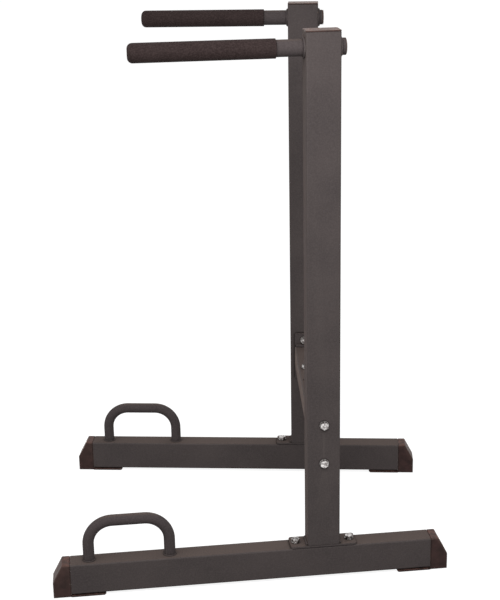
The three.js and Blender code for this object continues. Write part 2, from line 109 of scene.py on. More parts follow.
# %% Helpers for materials
# A Mix node has sockets of one name for numbers, vectors and colours, so those for colours go by number.
SHARE, UNDER, OVER, MIXED = 0, 6, 7, 2


def linear(code):
    """A screen colour such as "4c4645" as the linear colour of a socket."""
    parts = [int(code[i : i + 2], 16) / 255 for i in (0, 2, 4)]
    return tuple(p / 12.92 if p <= 0.04045 else ((p + 0.055) / 1.055) ** 2.4 for p in parts) + (1.0,)


def add_node(tree, kind, inputs=None, **settings):
    """Adds a node, sets its properties, and fills or links its inputs, named or numbered."""
    made = tree.nodes.new("ShaderNode" + kind)
    for name, value in settings.items():
        setattr(made, name, value)
    for name, value in (inputs or {}).items():
        if isinstance(value, bpy.types.NodeSocket):
            tree.links.new(value, made.inputs[name])
        else:
            made.inputs[name].default_value = value
    return made


def new_material(name):
    """A material with an empty tree but for its output."""
    material = bpy.data.materials.new(name)
    material.use_nodes = True
    material.node_tree.nodes.clear()
    return material, material.node_tree, add_node(material.node_tree, "OutputMaterial")


# %% [markdown]
# ### Powder coat
# The frame's steel is powder coated: dry powder is blown on and baked until it melts into one skin. This is a
# fine textured grade, so it scatters light and has almost no gloss. The powder is a blend of black, white and
# red grains, and its hue drifts a little between grey and brown. It thins at the edges, which rub paler, and
# this paler edge also stands in for a painted highlight along the rounded edges. Level faces gather a film of
# warm dust. Fine dust also clings to upright faces, which glow a little when they are seen edge-on, and that
# is what sheen draws. In the corner where two pieces meet, a thin dark line of painted shade darkens the
# colour, found by how much of the sky a point can't see. Real texture grains are half a millimetre, under a
# pixel here, so they are drawn coarser.

# %% Powder coat
TEXTURE_GRAIN = 0.003
TEXTURE_HEIGHT = 0.00012
DRIFT_SIZE = 0.11
SPECKLE_SIZE = 0.0032
PAINTED_SHADE_REACH = 0.006
COAT_GREY = linear("484242")
COAT_BROWN = linear("4c4545")
PALE_GRAIN = linear("5c5454")
RUBBED_EDGE_AND_HIGHLIGHT = linear("6f6763")
WARM_DUST = linear("60544f")
CORNER_PAINTED_SHADE = linear("211c1b")
COAT_SHEEN = linear("b48c78")

powder_coat, tree, output = new_material("powder_coated_steel")
place = add_node(tree, "TexCoord").outputs["Object"]
surface = add_node(tree, "NewGeometry")
drift = add_node(tree, "TexNoise", {"Vector": place, "Scale": 1 / DRIFT_SIZE, "Detail": 3.0}).outputs["Fac"]
speckle = add_node(
    tree, "TexNoise", {"Vector": place, "Scale": 1 / SPECKLE_SIZE, "Detail": 2.0}).outputs["Fac"]
texture = add_node(
    tree, "TexNoise", {"Vector": place, "Scale": 1 / TEXTURE_GRAIN, "Detail": 3.0}).outputs["Fac"]
blend = add_node(tree, "MapRange", {"Value": drift, "From Min": 0.35, "From Max": 0.65})
coat = add_node(
    tree, "Mix", {SHARE: blend.outputs["Result"], UNDER: COAT_GREY, OVER: COAT_BROWN}, data_type="RGBA")
grains = add_node(tree, "MapRange", {"Value": speckle, "From Min": 0.35, "From Max": 0.7, "To Max": 0.5})
grained = add_node(tree, "Mix", {
    SHARE: grains.outputs["Result"], UNDER: coat.outputs[MIXED], OVER: PALE_GRAIN}, data_type="RGBA")
# Pale edges: rubbed paint, and also a painted highlight along the rounded edges.
edge = add_node(tree, "MapRange", {"Value": surface.outputs["Pointiness"], "From Min": 0.53, "From Max": 0.6})
worn_and_highlit = add_node(tree, "Math", {0: edge.outputs["Result"], 1: drift}, operation="MULTIPLY")
edged = add_node(tree, "Mix", {
    SHARE: worn_and_highlit.outputs[0], UNDER: grained.outputs[MIXED], OVER: RUBBED_EDGE_AND_HIGHLIGHT}, data_type="RGBA")
upward = add_node(tree, "SeparateXYZ", {0: surface.outputs["Normal"]}).outputs["Z"]
level = add_node(tree, "MapRange", {"Value": upward, "From Min": 0.8, "From Max": 1.0})
film = add_node(tree, "MapRange", {
    "Value": speckle, "From Min": 0.35, "From Max": 0.65, "To Min": 0.4, "To Max": 1.0})
settled = add_node(
    tree, "Math", {0: level.outputs["Result"], 1: film.outputs["Result"]}, operation="MULTIPLY")
dusty = add_node(tree, "Mix", {
    SHARE: settled.outputs[0], UNDER: edged.outputs[MIXED], OVER: WARM_DUST}, data_type="RGBA")
# Painted shade: the colour is darkened in corners that see little sky.
open_sky = add_node(tree, "AmbientOcclusion", {"Distance": PAINTED_SHADE_REACH}, samples=8).outputs["AO"]
corner = add_node(tree, "MapRange", {
    "Value": open_sky, "From Min": 0.4, "From Max": 0.97, "To Min": 1.0, "To Max": 0.0})
with_painted_shade = add_node(tree, "Mix", {
    SHARE: corner.outputs["Result"], UNDER: dusty.outputs[MIXED], OVER: CORNER_PAINTED_SHADE}, data_type="RGBA")
gloss = add_node(tree, "MapRange", {
    "Value": drift, "From Min": 0.3, "From Max": 0.7, "To Min": 0.7, "To Max": 0.8})
bump = add_node(tree, "Bump", {"Height": texture, "Distance": TEXTURE_HEIGHT})
shader = add_node(tree, "BsdfPrincipled", {
    "Base Color": with_painted_shade.outputs[MIXED], "Roughness": gloss.outputs["Result"],
    "Normal": bump.outputs["Normal"], "IOR": 1.5, "Specular IOR Level": 0.04,
    "Sheen Weight": 0.22, "Sheen Roughness": 0.17, "Sheen Tint": COAT_SHEEN})
tree.links.new(shader.outputs["BSDF"], output.inputs["Surface"])
print(powder_coat.name, len(tree.nodes), "nodes")

# %% [markdown]
# ### Moulded plastic
# The end caps, top caps and bar plugs are injection moulded polyethylene, dyed black, which under studio
# light looks red brown beside the grey paint. The mould is spark eroded, so the plastic has an even grain. It
# is smoother than the paint, so a face that is seen edge-on shines, which is drawn with a strong sheen.
# Corners scuff paler, as the dye turns grey where the surface is bruised, and level faces hold dust in small
# clumps. A crease is darkened with painted shade. The grain of half a millimetre is drawn as two.

# %% Moulded plastic
GRAIN_CELL = 0.002
GRAIN_HEIGHT = 0.0001
SMEAR_SIZE = 0.02
CLUMP_SIZE = 0.012
CREASE_SHADE_REACH = 0.003
DYE_DARK = linear("342725")
DYE_PALE = linear("443230")
SCUFF = linear("6e5c54")
CLUMPED_DUST = linear("634841")
CREASE_PAINTED_SHADE = linear("1a1413")
PLASTIC_SHEEN = linear("e4dad2")

moulded_plastic, tree, output = new_material("moulded_polyethylene")
place = add_node(tree, "TexCoord").outputs["Object"]
surface = add_node(tree, "NewGeometry")
smears = add_node(tree, "TexNoise", {"Vector": place, "Scale": 1 / SMEAR_SIZE, "Detail": 4.0}).outputs["Fac"]
grain = add_node(tree, "TexVoronoi", {"Vector": place, "Scale": 1 / GRAIN_CELL}).outputs["Distance"]
patchy = add_node(tree, "MapRange", {"Value": smears, "From Min": 0.35, "From Max": 0.65})
dyed = add_node(
    tree, "Mix", {SHARE: patchy.outputs["Result"], UNDER: DYE_DARK, OVER: DYE_PALE}, data_type="RGBA")
edge = add_node(
    tree, "MapRange", {"Value": surface.outputs["Pointiness"], "From Min": 0.52, "From Max": 0.58})
bruised = add_node(tree, "Math", {0: edge.outputs["Result"], 1: smears}, operation="MULTIPLY")
scuffed = add_node(
    tree, "Mix", {SHARE: bruised.outputs[0], UNDER: dyed.outputs[MIXED], OVER: SCUFF}, data_type="RGBA")
upward = add_node(tree, "SeparateXYZ", {0: surface.outputs["Normal"]}).outputs["Z"]
level = add_node(tree, "MapRange", {"Value": upward, "From Min": 0.3, "From Max": 1.0})
clumps = add_node(tree, "TexNoise", {"Vector": place, "Scale": 1 / CLUMP_SIZE, "Detail": 3.0}).outputs["Fac"]
film = add_node(tree, "MapRange", {"Value": clumps, "From Min": 0.4, "From Max": 0.6})
settled = add_node(
    tree, "Math", {0: level.outputs["Result"], 1: film.outputs["Result"]}, operation="MULTIPLY")
dusty = add_node(tree, "Mix", {
    SHARE: settled.outputs[0], UNDER: scuffed.outputs[MIXED], OVER: CLUMPED_DUST}, data_type="RGBA")
# Painted shade: the colour is darkened in creases that see little sky.
open_sky = add_node(tree, "AmbientOcclusion", {"Distance": CREASE_SHADE_REACH}, samples=8).outputs["AO"]
corner = add_node(tree, "MapRange", {
    "Value": open_sky, "From Min": 0.4, "From Max": 0.97, "To Min": 1.0, "To Max": 0.0})
with_painted_shade = add_node(tree, "Mix", {
    SHARE: corner.outputs["Result"], UNDER: dusty.outputs[MIXED], OVER: CREASE_PAINTED_SHADE}, data_type="RGBA")
gloss = add_node(tree, "MapRange", {
    "Value": smears, "From Min": 0.3, "From Max": 0.7, "To Min": 0.45, "To Max": 0.6})
bump = add_node(tree, "Bump", {"Height": grain, "Distance": GRAIN_HEIGHT})
shader = add_node(tree, "BsdfPrincipled", {
    "Base Color": with_painted_shade.outputs[MIXED], "Roughness": gloss.outputs["Result"],
    "Normal": bump.outputs["Normal"], "IOR": 1.51, "Specular IOR Level": 0.1,
    "Sheen Weight": 0.9, "Sheen Roughness": 0.15, "Sheen Tint": PLASTIC_SHEEN})
tree.links.new(shader.outputs["BSDF"], output.inputs["Surface"])
print(moulded_plastic.name, len(tree.nodes), "nodes")

# %% [markdown]
# ### Rubber sleeve
# The grips are extruded rubber sleeves. Rubber scatters light at its rough skin, so it shows almost no gloss,
# only a pebbled texture, rubbed paler on top, and faint cloudy patches where hands have held it. Its pebbles
# are under a pixel here, so they are drawn twice as coarse.

# %% Rubber sleeve
PEBBLE_CELL = 0.0032
PEBBLE_HEIGHT = 0.0001
HAND_SIZE = 0.06
RUBBER_DARK = linear("2a201f")
RUBBER_PALE = linear("2f2524")
PEBBLE_TOP = linear("433736")

sleeve_rubber, tree, output = new_material("extruded_rubber")
place = add_node(tree, "TexCoord").outputs["Object"]
patches = add_node(tree, "TexNoise", {"Vector": place, "Scale": 1 / HAND_SIZE, "Detail": 3.0}).outputs["Fac"]
pebbles = add_node(
    tree, "TexNoise", {"Vector": place, "Scale": 1 / PEBBLE_CELL, "Detail": 2.0}).outputs["Fac"]
patchy = add_node(tree, "MapRange", {"Value": patches, "From Min": 0.35, "From Max": 0.65})
skin = add_node(
    tree, "Mix", {SHARE: patchy.outputs["Result"], UNDER: RUBBER_DARK, OVER: RUBBER_PALE}, data_type="RGBA")
tops = add_node(tree, "MapRange", {"Value": pebbles, "From Min": 0.4, "From Max": 0.65, "To Max": 0.6})
rubbed = add_node(tree, "Mix", {
    SHARE: tops.outputs["Result"], UNDER: skin.outputs[MIXED], OVER: PEBBLE_TOP}, data_type="RGBA")
bump = add_node(tree, "Bump", {"Height": pebbles, "Distance": PEBBLE_HEIGHT})
shader = add_node(tree, "BsdfPrincipled", {
    "Base Color": rubbed.outputs[MIXED], "Roughness": 0.8, "Normal": bump.outputs["Normal"],
    "IOR": 1.52, "Specular IOR Level": 0.12})
tree.links.new(shader.outputs["BSDF"], output.inputs["Surface"])
print(sleeve_rubber.name, len(tree.nodes), "nodes")

# %% [markdown]
# ### Zinc plate
# The bolts, washers and nuts are steel with a bright zinc plate. The plate is thin and follows the forged or
# pressed surface below it, so its gloss varies in small blotches, and its colour from grey to bright silver.
# Painted shade darkens the corners, so that a head stands out from its washer.

# %% Zinc plate
BLOTCH_SIZE = 0.006
BLOTCH_HEIGHT = 0.00003
ZINC_SHADE_REACH = 0.004
ZINC_GREY = linear("837e7c")
ZINC_SILVER = linear("e6e2e0")
ZINC_PAINTED_SHADE = linear("2e2a28")

zinc_plate, tree, output = new_material("bright_zinc_plate")
place = add_node(tree, "TexCoord").outputs["Object"]
blotches = add_node(
    tree, "TexNoise", {"Vector": place, "Scale": 1 / BLOTCH_SIZE, "Detail": 4.0}).outputs["Fac"]
patchy = add_node(tree, "MapRange", {"Value": blotches, "From Min": 0.4, "From Max": 0.6})
plate = add_node(
    tree, "Mix", {SHARE: patchy.outputs["Result"], UNDER: ZINC_GREY, OVER: ZINC_SILVER}, data_type="RGBA")
# Painted shade: the colour is darkened in corners that see little sky.
open_sky = add_node(tree, "AmbientOcclusion", {"Distance": ZINC_SHADE_REACH}, samples=8).outputs["AO"]
corner = add_node(tree, "MapRange", {
    "Value": open_sky, "From Min": 0.4, "From Max": 0.9, "To Min": 1.0, "To Max": 0.0})
zinc_with_painted_shade = add_node(
    tree, "Mix", {SHARE: corner.outputs["Result"], UNDER: plate.outputs[MIXED], OVER: ZINC_PAINTED_SHADE}, data_type="RGBA")
gloss = add_node(tree, "MapRange", {
    "Value": blotches, "From Min": 0.35, "From Max": 0.65, "To Min": 0.26, "To Max": 0.42})
bump = add_node(tree, "Bump", {"Height": blotches, "Distance": BLOTCH_HEIGHT})
shader = add_node(tree, "BsdfPrincipled", {
    "Base Color": zinc_with_painted_shade.outputs[MIXED], "Roughness": gloss.outputs["Result"],
    "Normal": bump.outputs["Normal"], "Metallic": 1.0})
tree.links.new(shader.outputs["BSDF"], output.inputs["Surface"])
print(zinc_plate.name, len(tree.nodes), "nodes")

# %% [markdown]
# ## Tools of the workshop
# A piece starts as a primitive and is then shaped in edit mode. An operator acts on whatever is selected, so
# every step begins by selecting nothing, and then picks faces, edges or vertices by their place or direction.
# A direction counts as along an axis when nine tenths of it are. A finished piece has its doubles merged, any
# pinhole left by a bevel closed, its faces turned outwards, and smooth shading that keeps flat faces flat.

# %% Tools for shaping
SMOOTH_ANGLE = math.radians(35)
MERGE = 0.000005
ALONG = 0.9
EXACTLY_ALONG = 0.99


def begin(piece):
    """Selects one piece alone and opens it in edit mode."""
    bpy.ops.object.select_all(action="DESELECT")
    piece.select_set(True)
    bpy.context.view_layer.objects.active = piece
    bpy.ops.object.mode_set(mode="EDIT")


def end():
    """Leaves edit mode."""
    bpy.ops.object.mode_set(mode="OBJECT")


def pick(kind, wanted):
    """In edit mode, selects only the vertices, edges or faces that pass a test."""
    bpy.ops.mesh.select_mode(type=kind)
    bpy.ops.mesh.select_all(action="DESELECT")
    mesh = bmesh.from_edit_mesh(bpy.context.object.data)
    parts = {"VERT": mesh.verts, "EDGE": mesh.edges, "FACE": mesh.faces}[kind]
    for part in [part for part in parts if wanted(part)]:
        part.select_set(True)
    mesh.select_flush_mode()
    bmesh.update_edit_mesh(bpy.context.object.data)


def middle(part):
    """The mean place of an edge's or a face's vertices."""
    return sum((v.co for v in part.verts), Vector()) / len(part.verts)


def run(edge):
    """The direction of an edge, with no negative part."""
    along = (edge.verts[1].co - edge.verts[0].co).normalized()
    return Vector(abs(v) for v in along)


def move_to(piece, matrix):
    """Moves a piece and puts its place in its mesh, so that its object stays at the origin."""
    bpy.ops.object.select_all(action="DESELECT")
    piece.select_set(True)
    bpy.context.view_layer.objects.active = piece
    piece.matrix_world = matrix @ piece.matrix_world
    bpy.ops.object.transform_apply(location=True, rotation=True, scale=True)
    return piece


# %% [markdown]
# Other steps work on a whole piece. A modifier is added and applied at once, so that nothing stays live: a
# Boolean joins or cuts, and a Bevel softens every edge that is sharper than 35 degrees.

# %% Tools for joining, cutting and finishing
def apply_modifier(piece, kind, **settings):
    """Adds one modifier and applies it."""
    bpy.ops.object.select_all(action="DESELECT")
    piece.select_set(True)
    bpy.context.view_layer.objects.active = piece
    modifier = piece.modifiers.new("step", kind)
    for name, value in settings.items():
        setattr(modifier, name, value)
    bpy.ops.object.modifier_apply(modifier=modifier.name)
    return piece


def combine(piece, other, operation):
    """Joins another closed shape to a piece, or takes it away, and uses it up."""
    apply_modifier(piece, "BOOLEAN", operation=operation, solver="EXACT", object=other)
    bpy.data.objects.remove(other)
    return piece


def soften(piece, width, segments=2):
    """Rounds every edge that is sharper than the smooth angle."""
    return apply_modifier(
        piece, "BEVEL", width=width, segments=segments, limit_method="ANGLE", angle_limit=SMOOTH_ANGLE)


def tidy(piece):
    """Merges doubles, closes pinholes, turns faces outwards and shades smooth where the surface is round."""
    begin(piece)
    bpy.ops.mesh.select_all(action="SELECT")
    bpy.ops.mesh.remove_doubles(threshold=MERGE)
    bpy.ops.mesh.dissolve_degenerate(threshold=MERGE)
    bpy.ops.mesh.fill_holes(sides=4)
    bpy.ops.mesh.normals_make_consistent(inside=False)
    end()
    bpy.ops.object.shade_smooth_by_angle(angle=SMOOTH_ANGLE)
    apply_modifier(piece, "WEIGHTED_NORMAL", keep_sharp=True)
    print(f"shaped {piece.name}: {len(piece.data.polygons)} faces")
    return piece


# %% [markdown]
# Most pieces here are bars and tubes. A rectangular bar is a cube whose four long edges are bevelled. For a
# tube, its two ends are inset by the wall and the inset faces are bridged, which opens a bore between them. A
# hole is drilled with a rod and a Boolean modifier, as a drill would.

# %% Bars, tubes and holes
CORNER_SEGMENTS = 6
ROUND_SIDES = 64
HOLE_SIDES = 32


def open_bore(wall):
    """In edit mode, insets both ends of a bar that stands along Z, and bridges them to a bore."""
    pick("FACE", lambda face: abs(face.normal.z) > ALONG)
    bpy.ops.mesh.inset(thickness=wall)
    bpy.ops.mesh.bridge_edge_loops()


def rectangular_bar(name, depth, width, length, corner, wall=0.0):
    """A bar of rounded section that stands on z = 0; with a wall it is an open tube."""
    bpy.ops.object.select_all(action="DESELECT")
    bpy.ops.mesh.primitive_cube_add(size=1, location=(0, 0, length / 2), scale=(depth, width, length))
    piece = move_to(bpy.context.object, Matrix())
    piece.name = name
    begin(piece)
    pick("EDGE", lambda edge: run(edge).z > ALONG)
    bpy.ops.mesh.bevel(offset=corner, segments=CORNER_SEGMENTS, affect="EDGES")
    if wall:
        open_bore(wall)
    end()
    return piece


def round_bar(name, radius, length, wall=0.0, sides=ROUND_SIDES):
    """A round bar that stands on z = 0; with a wall it is an open tube."""
    bpy.ops.object.select_all(action="DESELECT")
    bpy.ops.mesh.primitive_cylinder_add(
        vertices=sides, radius=radius, depth=length, location=(0, 0, length / 2))
    piece = move_to(bpy.context.object, Matrix())
    piece.name = name
    if wall:
        begin(piece)
        open_bore(wall)
        end()
    return piece


def drill(piece, radius, middle_place, direction, length):
    """Drills a round hole of a given length about its middle."""
    rod = round_bar("drill", radius, length, sides=HOLE_SIDES)
    turn = Vector(direction).to_track_quat("Z", "Y").to_matrix().to_4x4()
    move_to(rod, Matrix.Translation(middle_place) @ turn @ Matrix.Translation((0, 0, -length / 2)))
    return combine(piece, rod, "DIFFERENCE")


# %% [markdown]
# A fillet weld is a row of small overlapping pools of steel. It starts as a ring or a rod. Every second row
# of its vertices is swollen by a fraction of a millimetre, which gives the ripples, and what would lie inside
# the plate it stands on is cut off.

# %% Weld beads
RIPPLE = 0.0036
RIPPLE_HEIGHT = 0.00045
BEAD_SIDES = 16


def cut_below(plane_place, plane_direction):
    """In edit mode, cuts off what lies behind a plane and closes the cut."""
    bpy.ops.mesh.select_all(action="SELECT")
    bpy.ops.mesh.bisect(plane_co=plane_place, plane_no=plane_direction, use_fill=True, clear_inner=True)


def ring_bead(name, radius, size):
    """A rippled weld round a bar that stands on z = 0."""
    ripples = round(math.tau * radius / RIPPLE)
    bpy.ops.object.select_all(action="DESELECT")
    bpy.ops.mesh.primitive_torus_add(
        major_segments=2 * ripples, minor_segments=BEAD_SIDES, major_radius=radius, minor_radius=size)
    piece = move_to(bpy.context.object, Matrix())
    piece.name = name
    begin(piece)
    pick("VERT", lambda v: round(math.atan2(v.co.y, v.co.x) / math.tau * 2 * ripples) % 2)
    bpy.ops.transform.shrink_fatten(value=RIPPLE_HEIGHT)
    cut_below((0, 0, 0), (0, 0, 1))
    end()
    return piece


def straight_bead(name, length, size):
    """A rippled weld along Y, in the corner between the floor z = 0 and the wall x = 0."""
    ripples = round(length / RIPPLE)
    piece = round_bar(name, size, length, sides=BEAD_SIDES)
    begin(piece)
    pick("EDGE", lambda edge: run(edge).z > ALONG)
    bpy.ops.mesh.subdivide(number_cuts=2 * ripples - 1)
    pick("VERT", lambda v: round(v.co.z / length * 2 * ripples) % 2)
    bpy.ops.transform.shrink_fatten(value=RIPPLE_HEIGHT)
    end()
    move_to(piece, Matrix.Rotation(math.pi / 2, 4, "X") @ Matrix.Translation((0, 0, -length / 2)))
    begin(piece)
    cut_below((0, 0, 0), (0, 0, 1))
    cut_below((0, 0, 0), (1, 0, 0))
    end()
    return piece


# %% [markdown]
# ## Where the side frames stand
# Both side frames are the same but for their side, so each piece is modelled once, about its own upright: x
# runs rearwards along the base and y across it. A frame then stands at half the spacing, turned outwards by
# 5.1 degrees at the bar tips. The upright's node gives the place.

# %% Places of the side frames
TOE_OUT = math.radians(5.1)
SIDES = (("left", 1), ("right", -1))
SEAT_GAP = 0.0002
HALF_TURN = Matrix.Rotation(math.pi, 4, "Z")
stand = {}
for label, side in SIDES:
    low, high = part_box(label + "_upright_tube")
    foot = ((low.x + high.x) / 2, (low.y + high.y) / 2, 0)
    stand[label] = Matrix.Translation(foot) @ Matrix.Rotation(-side * TOE_OUT, 4, "Z")
    print(label, "side frame at", [round(v, 5) for v in foot])
UPRIGHT_X = stand["left"].translation.x


def put(master, name, matrix, material, node):
    """Stands a copy of a piece in its place, gives it its finish, hides the node it stands for, and prints
    how far its box lies from the node's.
    """
    piece = master.copy()
    piece.data = master.data.copy()
    bpy.context.scene.collection.objects.link(piece)
    piece.name = name
    move_to(piece, matrix)
    piece.data.materials.clear()
    piece.data.materials.append(material)
    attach(piece, "root")
    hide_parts(node)
    low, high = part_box(node)
    corners = [piece.matrix_world @ Vector(c) for c in piece.bound_box]
    off = max(abs(min(c[i] for c in corners) - low[i]) for i in range(3))
    off = max(off, max(abs(max(c[i] for c in corners) - high[i]) for i in range(3)))
    print(f"{name}: {len(piece.data.polygons)} faces, box within {off * 1000:.2f} mm of its node")
    return piece


# %% [markdown]
# ## Base tubes
# The base of each side frame is 76.2 x 50.8 mm steel tube with a 3 mm wall. It is modelled standing, as every
# bar here, and then laid along x. Two holes in its top wall take the foot bolts.

# %% Base tubes
BASE_WIDTH = 0.0508
BASE_HEIGHT = 0.0762
BASE_FRONT = 0.598
BASE_REAR = 0.259
TUBE_WALL = 0.003
TUBE_CORNER = 0.004
SAWN_EDGE = 0.0008
SOLE_THICKNESS = 0.0068
FOOT_BOLT_OFFSET = 0.0645
HOLE_RADIUS = 0.0055
base_middle = SOLE_THICKNESS + SEAT_GAP + BASE_HEIGHT / 2
base_top = base_middle + BASE_HEIGHT / 2
LAY_ALONG_X = Matrix(((0, 0, 1, 0), (1, 0, 0, 0), (0, 1, 0, 0), (0, 0, 0, 1)))

base_tube = rectangular_bar(
    "base_tube", BASE_WIDTH, BASE_HEIGHT, BASE_FRONT + BASE_REAR, TUBE_CORNER, TUBE_WALL)
soften(base_tube, SAWN_EDGE)
move_to(base_tube, Matrix.Translation((-BASE_FRONT, 0, base_middle)) @ LAY_ALONG_X)
for x in (-FOOT_BOLT_OFFSET, FOOT_BOLT_OFFSET):
    drill(base_tube, HOLE_RADIUS, (x, 0, base_top), (0, 0, 1), 4 * TUBE_WALL)
tidy(base_tube)
for label, side in SIDES:
    put(base_tube, "base_tube_" + label, stand[label], powder_coat, label + "_base_tube")
bpy.data.objects.remove(base_tube)

# %% [markdown]
# ## End caps
# A moulded cap closes each end of the base. It has a nose with a slanted front, a sole that reaches back
# under the tube and carries it, and a hollow plug inside the tube. The nose is a cube cut along the slant
# with bisect, and the sole is extruded from the lowest strip of its back face. The sole's rear end slants a
# little.

# %% Nose and sole of the end cap
CAP_REACH = 0.042
CAP_FLAT = 0.019
CAP_NOSE_HEIGHT = 0.04
CAP_GROOVE = 0.0018
SOLE_REACH = 0.077
SOLE_SLANT = 0.004
SOLE_STEP = 0.0027
TOUCH = 0.0001
sole_edge = SOLE_THICKNESS - SOLE_STEP

bpy.ops.object.select_all(action="DESELECT")
bpy.ops.mesh.primitive_cube_add(
    size=1, location=((CAP_GROOVE + CAP_REACH) / 2, 0, base_top / 2),
    scale=(CAP_REACH - CAP_GROOVE, BASE_WIDTH, base_top))
end_cap = move_to(bpy.context.object, Matrix())
end_cap.name = "end_cap"
begin(end_cap)
bpy.ops.mesh.select_all(action="SELECT")
slant = (base_top - CAP_NOSE_HEIGHT, 0, CAP_REACH - CAP_FLAT)
bpy.ops.mesh.bisect(plane_co=(CAP_REACH, 0, CAP_NOSE_HEIGHT), plane_no=slant, use_fill=True, clear_outer=True)
bpy.ops.mesh.select_all(action="SELECT")
bpy.ops.mesh.bisect(plane_co=(0, 0, sole_edge), plane_no=(0, 0, 1))
pick("FACE", lambda face: face.normal.x < -ALONG and middle(face).z < sole_edge)
bpy.ops.mesh.extrude_region_move(
    TRANSFORM_OT_translate={"value": (-SOLE_REACH - SOLE_SLANT - CAP_GROOVE, 0, 0)})
pick("EDGE", lambda edge: run(edge).y > ALONG and middle(edge).x < -SOLE_REACH and middle(edge).z < TOUCH)
bpy.ops.transform.translate(value=(SOLE_SLANT, 0, 0))
end()
print("nose and sole:", [round(v, 4) for v in end_cap.dimensions], "m")

# %% [markdown]
# The edges along the nose's two sides have a larger round than the others, so they are bevelled in one group,
# the toe at the floor in another, and the edges across the slanted front in a third. A Bevel modifier then
# rounds what is still sharp.

# %% Rounded edges of the end cap
CAP_LONG_ROUND = 0.0035
CAP_CROSS_ROUND = 0.002
CAP_TOE_ROUND = 0.0032
CAP_RIM_ROUND = 0.0008
LARGE_ROUND_SEGMENTS = 4
SMALL_ROUND_SEGMENTS = 3


def beside_the_nose(edge):
    """True for an edge of the nose's left or right side, but for the lines that divide it."""
    at = middle(edge)
    outside = abs(abs(at.y) - BASE_WIDTH / 2) < TOUCH and at.x > CAP_GROOVE + TOUCH
    return outside and abs(at.z - sole_edge) > TOUCH and run(edge).y < ALONG


begin(end_cap)
pick("EDGE", beside_the_nose)
bpy.ops.mesh.bevel(offset=CAP_LONG_ROUND, segments=LARGE_ROUND_SEGMENTS, affect="EDGES")
pick("EDGE", lambda edge: run(edge).y > ALONG and middle(edge).x > CAP_REACH - TOUCH
     and middle(edge).z < TOUCH)
bpy.ops.mesh.bevel(offset=CAP_TOE_ROUND, segments=LARGE_ROUND_SEGMENTS, affect="EDGES")
pick("EDGE", lambda edge: run(edge).y > ALONG and middle(edge).x > CAP_FLAT - TOUCH
     and middle(edge).z > CAP_NOSE_HEIGHT - TOUCH)
bpy.ops.mesh.bevel(offset=CAP_CROSS_ROUND, segments=SMALL_ROUND_SEGMENTS, affect="EDGES")
end()
soften(end_cap, CAP_RIM_ROUND)
print("rounded nose:", len(end_cap.data.polygons), "faces")

# %% [markdown]
# The nose steps in before it meets the tube's end, and only a narrow pad on the sole touches the tube from
# below. These two gaps lie in shadow, and they are the black lines round the ends of the tube. The plug
# inside the tube is a bar that is hollowed from below, laid down and joined to the nose.

# %% Groove, pad and plug of the end cap
CAP_GROOVE_DEPTH = 0.0013
SOLE_PAD_INSET = 0.012
CAP_PLUG_DEPTH = 0.028
PLUG_WALL = 0.0015
PLUG_CORNER = 0.0025
FIT_GAP = 0.0004


def hollow_plug(name, depth, width, length, hollow):
    """A bar that fits in a tube, hollow from below."""
    piece = rectangular_bar(
        name, depth - 2 * (TUBE_WALL + FIT_GAP), width - 2 * (TUBE_WALL + FIT_GAP), length, PLUG_CORNER)
    begin(piece)
    pick("FACE", lambda face: face.normal.z < -ALONG)
    bpy.ops.mesh.inset(thickness=PLUG_WALL)
    bpy.ops.mesh.extrude_region_move(TRANSFORM_OT_translate={"value": (0, 0, hollow)})
    end()
    return piece


begin(end_cap)
pick("FACE", lambda face: face.normal.z > EXACTLY_ALONG and middle(face).x < 0)
bpy.ops.mesh.inset(thickness=SOLE_PAD_INSET - CAP_RIM_ROUND)
bpy.ops.mesh.extrude_region_move(TRANSFORM_OT_translate={"value": (0, 0, SOLE_STEP)})
pick("FACE", lambda face: face.normal.x < -EXACTLY_ALONG and middle(face).z > SOLE_THICKNESS)
bpy.ops.mesh.inset(thickness=CAP_GROOVE_DEPTH - CAP_RIM_ROUND)
bpy.ops.mesh.extrude_region_move(TRANSFORM_OT_translate={"value": (-CAP_GROOVE, 0, 0)})
end()
plug = hollow_plug(
    "cap_plug", BASE_WIDTH, BASE_HEIGHT, CAP_PLUG_DEPTH + 2 * PLUG_WALL, CAP_PLUG_DEPTH - 2 * PLUG_WALL)
move_to(plug, Matrix.Translation((-CAP_PLUG_DEPTH, 0, base_middle)) @ LAY_ALONG_X)
combine(end_cap, plug, "UNION")
tidy(end_cap)

# %% End caps in place
front_end = Matrix.Translation((-BASE_FRONT - SEAT_GAP, 0, 0)) @ HALF_TURN
rear_end = Matrix.Translation((BASE_REAR + SEAT_GAP, 0, 0))
for label, side in SIDES:
    for place_name, where in (("front", front_end), ("rear", rear_end)):
        put(end_cap, f"{place_name}_end_cap_{label}", stand[label] @ where, moulded_plastic,
            f"{label}_{place_name}_end_cap")
bpy.data.objects.remove(end_cap)

# %% [markdown]
# ## Uprights and top caps
# The upright is the same tube, 1.2 m tall. The dip bar goes right through it near the top, and the
# crossmember's bolts go through it lower down. Holes are drilled for them.

# %% Uprights
OVERALL_HEIGHT = 1.292
UPRIGHT_DEPTH = 0.0762
FLANGE_THICKNESS = 0.005
TOP_CAP_THICKNESS = 0.003
BAR_RADIUS = 0.01825
BAR_DROP = 0.0375
CROSS_HEIGHT = 0.349
CROSS_BOLT_OFFSET = 0.04775
flange_top = base_top + SEAT_GAP + FLANGE_THICKNESS
top_cap_bottom = OVERALL_HEIGHT - TOP_CAP_THICKNESS
bar_height = OVERALL_HEIGHT - BAR_DROP
upright_foot = flange_top + SEAT_GAP
upright_length = top_cap_bottom - SEAT_GAP - upright_foot

